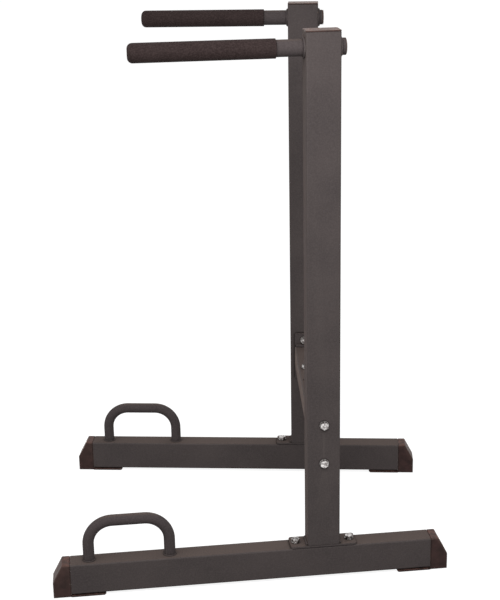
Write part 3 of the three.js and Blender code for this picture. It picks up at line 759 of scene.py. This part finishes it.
upright_tube = rectangular_bar(
    "upright_tube", UPRIGHT_DEPTH, BASE_WIDTH, upright_length, TUBE_CORNER, TUBE_WALL)
soften(upright_tube, SAWN_EDGE)
move_to(upright_tube, Matrix.Translation((0, 0, upright_foot)))
drill(upright_tube, BAR_RADIUS + SEAT_GAP, (0, 0, bar_height), (1, 0, 0), 2 * UPRIGHT_DEPTH)
for z in (CROSS_HEIGHT - CROSS_BOLT_OFFSET, CROSS_HEIGHT + CROSS_BOLT_OFFSET):
    drill(upright_tube, HOLE_RADIUS, (0, 0, z), (0, 1, 0), 2 * BASE_WIDTH)
tidy(upright_tube)

# %% [markdown]
# The upright's cap is a thin moulded plate, as large as the tube, with a hollow plug below that holds it. Its
# upper and lower edges are rounded before the plug is joined.

# %% Top caps
TOP_CAP_CORNER = 0.0035
TOP_CAP_ROUND = 0.0009
TOP_CAP_PLUG_DEPTH = 0.008

top_cap = rectangular_bar("top_cap", UPRIGHT_DEPTH, BASE_WIDTH, TOP_CAP_THICKNESS, TOP_CAP_CORNER)
soften(top_cap, TOP_CAP_ROUND, SMALL_ROUND_SEGMENTS)
plug = hollow_plug(
    "top_cap_plug", UPRIGHT_DEPTH, BASE_WIDTH, TOP_CAP_PLUG_DEPTH + TOP_CAP_THICKNESS / 2, TOP_CAP_PLUG_DEPTH)
move_to(plug, Matrix.Translation((0, 0, -TOP_CAP_PLUG_DEPTH)))
combine(top_cap, plug, "UNION")
tidy(top_cap)

# %% Uprights and top caps in place
for label, side in SIDES:
    put(upright_tube, "upright_tube_" + label, stand[label], powder_coat,
        label + "_upright_tube")
    put(top_cap, "top_cap_" + label, stand[label] @ Matrix.Translation((0, 0, top_cap_bottom)),
        moulded_plastic, label + "_upright_top_cap")
for master in (upright_tube, top_cap):
    bpy.data.objects.remove(master)

# %% [markdown]
# ## Foot flange plates
# The upright is welded on a 5 mm plate with round corners, which two bolts hold to the base. The plate is as
# wide as the tubes, so only the front and rear faces of the upright have room for a weld bead.

# %% Foot flange plates
FLANGE_LENGTH = 0.157
FLANGE_CORNER = 0.006
PLATE_EDGE = 0.0005
FOOT_WELD = 0.0038

foot_flange = rectangular_bar("foot_flange", FLANGE_LENGTH, BASE_WIDTH, FLANGE_THICKNESS, FLANGE_CORNER)
soften(foot_flange, PLATE_EDGE)
move_to(foot_flange, Matrix.Translation((0, 0, base_top + SEAT_GAP)))
for x in (-FOOT_BOLT_OFFSET, FOOT_BOLT_OFFSET):
    drill(foot_flange, HOLE_RADIUS, (x, 0, flange_top), (0, 0, 1), 4 * FLANGE_THICKNESS)
for turn in (Matrix(), HALF_TURN):
    bead = straight_bead("foot_weld", BASE_WIDTH - 2 * TUBE_CORNER, FOOT_WELD)
    move_to(bead, turn @ Matrix.Translation((UPRIGHT_DEPTH / 2 + SEAT_GAP, 0, flange_top - TOUCH)))
    combine(foot_flange, bead, "UNION")
tidy(foot_flange)
for label, side in SIDES:
    put(foot_flange, "foot_flange_" + label, stand[label], powder_coat,
        label + "_foot_flange_plate")
bpy.data.objects.remove(foot_flange)

# %% [markdown]
# ## Dip bars, grips and plugs
# The bar is a 36.5 mm round tube, pushed through the upright and welded at both faces. It is modelled
# standing, with the upright's middle at z = 0 and its front end below.

# %% Dip bars
BAR_WALL = 0.003
BAR_WELD = 0.004
BAR_BARE_LENGTH = 0.061
BAR_STUB_LENGTH = 0.0111
GRIP_LENGTH = 0.3126
GRIP_END_WALL = 0.01
grip_end = UPRIGHT_DEPTH / 2 + BAR_BARE_LENGTH + GRIP_LENGTH
bar_front = grip_end - GRIP_END_WALL
bar_rear = UPRIGHT_DEPTH / 2 + BAR_STUB_LENGTH
upright_face = UPRIGHT_DEPTH / 2 + SEAT_GAP
POINT_REARWARDS = Matrix.Rotation(math.pi / 2, 4, "Y")

dip_bar = round_bar("dip_bar", BAR_RADIUS, bar_front + bar_rear, BAR_WALL)
soften(dip_bar, SAWN_EDGE)
move_to(dip_bar, Matrix.Translation((0, 0, -bar_front)))
for turn in (Matrix(), Matrix.Rotation(math.pi, 4, "X")):
    bead = ring_bead("bar_weld", BAR_RADIUS, BAR_WELD)
    move_to(bead, turn @ Matrix.Translation((0, 0, upright_face)))
    combine(dip_bar, bead, "UNION")
tidy(dip_bar)

# %% [markdown]
# A rubber sleeve covers the front of the bar, with a thick round end that closes it. It is a round bar whose
# ends are bevelled, the front one with a large round, and whose rear face is inset and pushed in as far as
# the bar goes.

# %% Grips
GRIP_RADIUS = 0.02115
GRIP_END_ROUND = 0.0115
GRIP_LIP_ROUND = 0.001
GRIP_END_SEGMENTS = 8

grip = round_bar("grip", GRIP_RADIUS, GRIP_LENGTH)
begin(grip)
pick("EDGE", lambda edge: middle(edge).z < TOUCH and run(edge).z < TOUCH)
bpy.ops.mesh.bevel(offset=GRIP_END_ROUND, segments=GRIP_END_SEGMENTS, affect="EDGES")
pick("EDGE", lambda edge: middle(edge).z > GRIP_LENGTH - TOUCH and run(edge).z < TOUCH)
bpy.ops.mesh.bevel(offset=GRIP_LIP_ROUND, segments=SMALL_ROUND_SEGMENTS, affect="EDGES")
pick("FACE", lambda face: face.normal.z > EXACTLY_ALONG)
bpy.ops.mesh.inset(thickness=GRIP_RADIUS - GRIP_LIP_ROUND - BAR_RADIUS - SEAT_GAP)
bpy.ops.mesh.extrude_region_move(TRANSFORM_OT_translate={"value": (0, 0, GRIP_END_WALL - GRIP_LENGTH)})
end()
move_to(grip, Matrix.Translation((0, 0, -grip_end)))
tidy(grip)

# %% [markdown]
# A domed plastic plug closes the rear stub. The dome is made of insets, each a little smaller and higher than
# the last, along an ellipse. The part inside the tube is extruded from the flat side.

# %% Bar plugs
PLUG_RIM = 0.0015
PLUG_DOME = 0.0035
PLUG_DEPTH = 0.016
DOME_STEPS = 6

bar_plug = round_bar("bar_plug", BAR_RADIUS, PLUG_RIM - SEAT_GAP)
begin(bar_plug)
pick("FACE", lambda face: face.normal.z > ALONG)
for step in range(1, DOME_STEPS):
    before = (step - 1) / DOME_STEPS * math.pi / 2
    after = step / DOME_STEPS * math.pi / 2
    bpy.ops.mesh.inset(
        thickness=BAR_RADIUS * (math.cos(before) - math.cos(after)),
        depth=(PLUG_DOME - PLUG_RIM) * (math.sin(after) - math.sin(before)))
pick("FACE", lambda face: face.normal.z < -ALONG)
bpy.ops.mesh.inset(thickness=BAR_WALL + FIT_GAP)
bpy.ops.mesh.extrude_region_move(TRANSFORM_OT_translate={"value": (0, 0, -PLUG_DEPTH)})
end()
move_to(bar_plug, Matrix.Translation((0, 0, bar_rear + SEAT_GAP)))
tidy(bar_plug)
for label, side in SIDES:
    along = stand[label] @ Matrix.Translation((0, 0, bar_height)) @ POINT_REARWARDS
    put(dip_bar, "dip_bar_" + label, along, powder_coat, label + "_dip_bar")
    put(grip, "grip_" + label, along, sleeve_rubber, label + "_dip_bar_grip")
    put(bar_plug, "bar_plug_" + label, along, moulded_plastic, label + "_dip_bar_plug")
for master in (dip_bar, grip, bar_plug):
    bpy.data.objects.remove(master)

# %% [markdown]
# ## Push-up handles
# The low handle is one 26.7 mm pipe, bent twice and welded to the base. A circle at its foot is extruded up,
# spun a quarter turn about the bend's centre, extruded across, spun again, and extruded down. Solidify then
# gives the pipe its wall.

# %% Push-up handles
HANDLE_RADIUS = 0.01335
HANDLE_WALL = 0.0028
HANDLE_SETBACK = 0.0443
HANDLE_SPAN = 0.1897
HANDLE_RISE = 0.097
HANDLE_BEND = 0.057
HANDLE_WELD = 0.0022
BEND_STEPS = 16
handle_foot = base_top + SEAT_GAP
bend_start = base_top + HANDLE_RISE - HANDLE_BEND
straight = HANDLE_SPAN - 2 * HANDLE_BEND

bpy.ops.object.select_all(action="DESELECT")
bpy.ops.mesh.primitive_circle_add(
    vertices=ROUND_SIDES // 2, radius=HANDLE_RADIUS, location=(0, 0, handle_foot))
handle = move_to(bpy.context.object, Matrix())
handle.name = "handle"
begin(handle)
pick("EDGE", lambda edge: True)
bpy.ops.mesh.extrude_region_move(TRANSFORM_OT_translate={"value": (0, 0, bend_start - handle_foot)})
bpy.ops.mesh.spin(steps=BEND_STEPS, angle=math.pi / 2, center=(HANDLE_BEND, 0, bend_start), axis=(0, -1, 0))
bpy.ops.mesh.extrude_region_move(TRANSFORM_OT_translate={"value": (straight, 0, 0)})
bpy.ops.mesh.spin(
    steps=BEND_STEPS, angle=math.pi / 2, center=(HANDLE_BEND + straight, 0, bend_start), axis=(0, -1, 0))
bpy.ops.mesh.extrude_region_move(TRANSFORM_OT_translate={"value": (0, 0, handle_foot - bend_start)})
bpy.ops.mesh.select_all(action="SELECT")
bpy.ops.mesh.remove_doubles(threshold=MERGE)
bpy.ops.mesh.normals_make_consistent(inside=False)
end()
apply_modifier(handle, "SOLIDIFY", thickness=HANDLE_WALL, offset=-1.0)
for x in (0, HANDLE_SPAN):
    bead = ring_bead("handle_weld", HANDLE_RADIUS, HANDLE_WELD)
    move_to(bead, Matrix.Translation((x, 0, handle_foot)))
    combine(handle, bead, "UNION")
tidy(handle)
setback = Matrix.Translation((HANDLE_SETBACK - BASE_FRONT, 0, 0))
for label, side in SIDES:
    put(handle, "push_up_handle_" + label, stand[label] @ setback, powder_coat,
        label + "_push_up_handle")
bpy.data.objects.remove(handle)

# %% [markdown]
# ## Crossmember and its plates
# A plate at each end of the crossmember is bolted to the upright's inner face. The frames are splayed, so the
# crossmember meets its plates a little behind the uprights' middle. The plates are centred on it, and their
# bolt holes on the upright.

# %% Crossmember plates
CROSS_SIZE = 0.05715
CROSS_PLATE_WIDTH = 0.05755
CROSS_PLATE_HEIGHT = 0.131
CROSS_PLATE_THICKNESS = 0.005
CROSS_PLATE_CORNER = 0.004
TOWARDS_INSIDE = Matrix.Rotation(math.pi / 2, 4, "X")
inner_face = BASE_WIDTH / 2 + SEAT_GAP
plate_face = inner_face + CROSS_PLATE_THICKNESS + SEAT_GAP
cross_shift = math.tan(TOE_OUT) * plate_face

cross_plate = rectangular_bar(
    "cross_plate", CROSS_PLATE_WIDTH, CROSS_PLATE_HEIGHT, CROSS_PLATE_THICKNESS, CROSS_PLATE_CORNER)
move_to(cross_plate, Matrix.Translation((cross_shift, 0, 0)))
soften(cross_plate, PLATE_EDGE)
for y in (-CROSS_BOLT_OFFSET, CROSS_BOLT_OFFSET):
    drill(cross_plate, HOLE_RADIUS, (0, y, 0), (0, 0, 1), 4 * CROSS_PLATE_THICKNESS)
tidy(cross_plate)
for label, side in SIDES:
    facing = HALF_TURN if side < 0 else Matrix()
    on_upright = stand[label] @ facing @ Matrix.Translation((0, -inner_face, CROSS_HEIGHT))
    put(cross_plate, "cross_plate_" + label, on_upright @ TOWARDS_INSIDE @ facing, powder_coat,
        label + "_crossmember_flange_plate")
bpy.data.objects.remove(cross_plate)

# %% [markdown]
# The crossmember is a 57 mm square tube. It is first as long as the frames are apart, and then both ends are
# cut at a slant with bisect, where the plates begin. A plate is as wide as the tube, so only the tube's upper
# and lower wall have room for a weld bead. The top wall has two bolt holes and a third one that stays empty.

# %% Crossmember
CROSS_WELD = 0.0065
TOP_BOLT_OFFSET = 0.099
TOP_BOLT_SHIFT = 0.0105
SPARE_HOLE_OFFSET = 0.0155
SPARE_HOLE_SHIFT = 0.0182
QUARTER_TURN = Matrix.Rotation(math.pi / 2, 4, "Z")
cross_top = CROSS_HEIGHT + CROSS_SIZE / 2
cross_length = 2 * stand["left"].translation.y
cross_middle = Matrix.Translation((UPRIGHT_X, 0, CROSS_HEIGHT))

crossmember = rectangular_bar("cross_tube", CROSS_SIZE, CROSS_SIZE, cross_length, TUBE_CORNER, TUBE_WALL)
move_to(crossmember, cross_middle @ TOWARDS_INSIDE @ Matrix.Translation((0, 0, -cross_length / 2)))
begin(crossmember)
for label, side in SIDES:
    plate_middle = stand[label] @ Vector((0, -side * plate_face, CROSS_HEIGHT))
    cut_below(plate_middle, stand[label].to_3x3() @ Vector((0, -side, 0)))
end()
for label, side in SIDES:
    facing = HALF_TURN if side < 0 else Matrix()
    seat_place = Matrix.Translation((side * cross_shift, -plate_face, CROSS_HEIGHT))
    where = stand[label] @ facing @ seat_place @ TOWARDS_INSIDE
    for turn in (QUARTER_TURN, QUARTER_TURN @ HALF_TURN):
        bead = straight_bead("cross_weld", CROSS_SIZE - 2 * TUBE_CORNER, CROSS_WELD)
        move_to(bead, where @ turn @ Matrix.Translation((CROSS_SIZE / 2 - TOUCH, 0, 0)))
        combine(crossmember, bead, "UNION")
top_holes = (
    (TOP_BOLT_SHIFT, TOP_BOLT_OFFSET),
    (TOP_BOLT_SHIFT, -TOP_BOLT_OFFSET),
    (SPARE_HOLE_SHIFT, SPARE_HOLE_OFFSET))
for shift, y in top_holes:
    drill(crossmember, HOLE_RADIUS, (UPRIGHT_X - shift, y, cross_top), (0, 0, 1), 4 * TUBE_WALL)
tidy(crossmember)
put(crossmember, "crossmember_tube", Matrix(), powder_coat, "crossmember")
bpy.data.objects.remove(crossmember)

# %% [markdown]
# ## Bolts, washers and nuts
# All fasteners are M10. A hexagon is a six-sided cylinder, and its corners are turned off by keeping only
# what it shares with a wide cone. The thread is a row of ridges on the shank: the long edges are subdivided,
# and every second ring is made smaller. A real thread climbs, but at this size rings look the same. Nut and
# washer are the same everywhere.

# %% Fasteners
BOLT_RADIUS = 0.005
ACROSS_FLATS = 0.017
HEX_RADIUS = ACROSS_FLATS / 2 / math.cos(math.pi / 6)
HEAD_HEIGHT = 0.0064
NUT_HEIGHT = 0.008
CHAMFER_RADIUS = 0.0083
CHAMFER_SPREAD = math.tan(math.radians(60))
WASHER_RADIUS = 0.0105
WASHER_THICKNESS = 0.002
WASHER_ROUND = 0.0003
THREAD_PITCH = 0.0015
THREAD_LENGTH = 0.015
THREAD_PROUD = 0.003
THREAD_ROOT_SHARE = 0.86
SHANK_SIDES = 32


def turn_off_corners(piece, height, lower):
    """Takes the corners off one end of a hexagon, by keeping what it shares with a cone."""
    bpy.ops.object.select_all(action="DESELECT")
    bpy.ops.mesh.primitive_cone_add(
        vertices=ROUND_SIDES, radius1=CHAMFER_RADIUS + 2 * height * CHAMFER_SPREAD,
        radius2=CHAMFER_RADIUS, depth=2 * height)
    cone = move_to(bpy.context.object, Matrix())
    if lower:
        move_to(cone, Matrix.Translation((0, 0, height)) @ Matrix.Rotation(math.pi, 4, "X"))
    combine(piece, cone, "INTERSECT")


def hexagon(name, height):
    """A hexagon that stands on z = 0, its upper corners turned off."""
    piece = round_bar(name, HEX_RADIUS, height, sides=6)
    turn_off_corners(piece, height, lower=False)
    return piece


def bolt(name, length):
    """A bolt whose head stands on z = 0, with the end of its shank threaded."""
    turns = round(THREAD_LENGTH / THREAD_PITCH)
    shank = round_bar("shank", BOLT_RADIUS, length + HEAD_HEIGHT / 2, sides=SHANK_SIDES)
    begin(shank)
    bpy.ops.mesh.select_all(action="SELECT")
    bpy.ops.mesh.bisect(plane_co=(0, 0, THREAD_LENGTH), plane_no=(0, 0, 1))
    pick("EDGE", lambda edge: run(edge).z > ALONG and middle(edge).z < THREAD_LENGTH)
    bpy.ops.mesh.subdivide(number_cuts=2 * turns - 1)
    pick("VERT", lambda v: v.co.z < THREAD_LENGTH - TOUCH and round(v.co.z / THREAD_PITCH * 2) % 2 == 0)
    bpy.ops.transform.resize(value=(THREAD_ROOT_SHARE, THREAD_ROOT_SHARE, 1))
    end()
    move_to(shank, Matrix.Translation((0, 0, -length)))
    return tidy(combine(hexagon(name, HEAD_HEIGHT), shank, "UNION"))


nut = hexagon("nut", NUT_HEIGHT)
turn_off_corners(nut, NUT_HEIGHT, lower=True)
drill(nut, BOLT_RADIUS + SEAT_GAP, (0, 0, NUT_HEIGHT / 2), (0, 0, 1), 2 * NUT_HEIGHT)
move_to(nut, Matrix.Translation((0, 0, -NUT_HEIGHT)))
tidy(nut)
washer = round_bar("washer", WASHER_RADIUS, WASHER_THICKNESS, WASHER_RADIUS - HOLE_RADIUS)
soften(washer, WASHER_ROUND)
tidy(washer)

# %% [markdown]
# A fastener goes through a stack of walls. Its washer lies on the outer face, the head on the washer, and the
# nut hangs on the other side, with a second washer where the crossmember's plate is. The three kinds differ
# only in the length of their shank, so each length is modelled once. Nobody lines up bolts, so each is turned
# by a different angle.

# %% Fasteners in place
FOOT_TURN = 0.4
CROSS_TURN = 0.06
NUT_TURNS = -5
seat = SEAT_GAP + WASHER_THICKNESS
screws = {}


def fasten(piece_name, node_name, outer_face, stack, turn, inner_washer=False):
    """Puts a washer, a bolt and a nut through a stack whose outer face is at z = 0 of a place."""
    under = seat if inner_washer else 0.0
    turned = outer_face @ Matrix.Rotation(turn, 4, "Z")
    counter = outer_face @ Matrix.Rotation(NUT_TURNS * turn, 4, "Z")
    length = seat + stack + under + 2 * SEAT_GAP + NUT_HEIGHT + THREAD_PROUD
    if length not in screws:
        screws[length] = bolt("bolt", length)
    under_head = turned @ Matrix.Translation((0, 0, seat + SEAT_GAP))
    put(screws[length], piece_name, under_head, zinc_plate, node_name)
    parts = [("_washer", washer, SEAT_GAP, turned), ("_nut", nut, -stack - under - SEAT_GAP, counter)]
    if inner_washer:
        parts.append(("_inner_washer", washer, -stack - seat, turned))
    for suffix, master, height, where in parts:
        put(master, piece_name + suffix, where @ Matrix.Translation((0, 0, height)), zinc_plate,
            node_name + suffix)


foot_stack = FLANGE_THICKNESS + SEAT_GAP + TUBE_WALL
cross_stack = BASE_WIDTH + SEAT_GAP + CROSS_PLATE_THICKNESS
for label, side in SIDES:
    for place_name, end_sign in (("front", -1), ("rear", 1)):
        fasten(f"foot_bolt_{place_name}_{label}", f"{label}_foot_bolt_{place_name}",
               stand[label] @ Matrix.Translation((end_sign * FOOT_BOLT_OFFSET, 0, flange_top)),
               foot_stack, FOOT_TURN * (side + end_sign / 2))
    outwards = Matrix.Rotation(-side * math.pi / 2, 4, "X")
    for place_name, end_sign in (("lower", -1), ("upper", 1)):
        z = CROSS_HEIGHT + end_sign * CROSS_BOLT_OFFSET
        fasten(f"cross_bolt_{place_name}_{label}", f"{label}_crossmember_bolt_{place_name}",
               stand[label] @ Matrix.Translation((0, side * BASE_WIDTH / 2, z)) @ outwards,
               cross_stack, CROSS_TURN * (side + 2 * z), inner_washer=True)
    fasten(f"top_bolt_{label}", f"crossmember_top_bolt_{label}",
           Matrix.Translation((UPRIGHT_X - TOP_BOLT_SHIFT, side * TOP_BOLT_OFFSET, cross_top)),
           TUBE_WALL, FOOT_TURN * side)
for master in (nut, washer, *screws.values()):
    bpy.data.objects.remove(master)
print("bolts of", len(screws), "lengths")

# %% [markdown]
# ## Studio
# The photograph is a catalogue picture on white. Here a pale floor runs to the horizon and keeps a soft
# shadow. To camera and mirror rays it also glows, so that it is as white as the backdrop. The world is white
# where the camera or a reflection sees it, and a plain grey where it lights the object. Three lamps give the
# rest of the light. A small one hangs before the close upright, higher than its middle, which is why that is
# lighter at its top. A larger one stands beyond the bar tips and lights the narrow faces, and the third
# lights the rear, so that nothing is black from behind.

# %% Floor
FLOOR_SIZE = 60
FLOOR_GLOW = 0.88
PAPER_GREY = linear("959595")
WHITE = (1.0, 1.0, 1.0, 1.0)


def seen_directly(tree):
    """One where the camera, a mirror or glass sees a surface, and zero where it only lights others."""
    rays = add_node(tree, "LightPath")
    direct = add_node(tree, "Math", {
        0: rays.outputs["Is Camera Ray"], 1: rays.outputs["Is Glossy Ray"]}, operation="MAXIMUM")
    return add_node(tree, "Math", {
        0: direct.outputs[0], 1: rays.outputs["Is Transmission Ray"]}, operation="MAXIMUM").outputs[0]


bpy.ops.object.select_all(action="DESELECT")
bpy.ops.mesh.primitive_plane_add(size=FLOOR_SIZE, location=(0, 0, 0))
floor = bpy.context.object
floor.name = "floor"
paper, tree, output = new_material("backdrop_paper")
strength = add_node(tree, "MapRange", {"Value": seen_directly(tree), "To Max": FLOOR_GLOW})
matte = add_node(tree, "BsdfDiffuse", {"Color": PAPER_GREY})
glow = add_node(tree, "Emission", {"Color": WHITE, "Strength": strength.outputs["Result"]})
both = add_node(tree, "AddShader", {0: matte.outputs[0], 1: glow.outputs[0]})
tree.links.new(both.outputs[0], output.inputs["Surface"])
floor.data.materials.append(paper)
floor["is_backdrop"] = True
print("floor:", [round(v) for v in floor.dimensions], "m")

# %% World
SKY_LIGHT = 0.5

world = bpy.data.worlds.new("studio")
bpy.context.scene.world = world
world.use_nodes = True
world.node_tree.nodes.clear()
tree = world.node_tree
strength = add_node(tree, "MapRange", {"Value": seen_directly(tree), "To Min": SKY_LIGHT, "To Max": 1.0})
sky = add_node(tree, "Background", {"Color": WHITE, "Strength": strength.outputs["Result"]})
tree.links.new(sky.outputs[0], add_node(tree, "OutputWorld").inputs["Surface"])
print(world.name, len(tree.nodes), "nodes")

# %% Lamps
# Each lamp has a name, a place, a point that it faces, a size in metres and a power in watts.
LAMPS = (
    ("front_lamp", (0.1, -1.6, 1.9), (0.17, -0.3, 0.9), 0.8, 21),
    ("left_lamp", (-2.6, -1.2, 2.4), (0.0, 0.0, 0.7), 1.4, 21),
    ("rear_lamp", (2.4, 2.2, 1.8), (0.1, 0.0, 0.7), 1.6, 20))

for name, place, aim, size, power in LAMPS:
    bpy.ops.object.select_all(action="DESELECT")
    bpy.ops.object.light_add(type="AREA", location=place)
    lamp = bpy.context.object
    lamp.name = name
    lamp.data.size = size
    lamp.data.energy = power
    lamp.rotation_euler = (Vector(aim) - Vector(place)).to_track_quat("-Z", "Y").to_euler()
    print(lamp.name, power, "W")

# %% [markdown]
# ## Sizes
# The dressed model has to keep the construction's size, so its box is measured.

# %% Measure the dressed model's box
low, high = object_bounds()
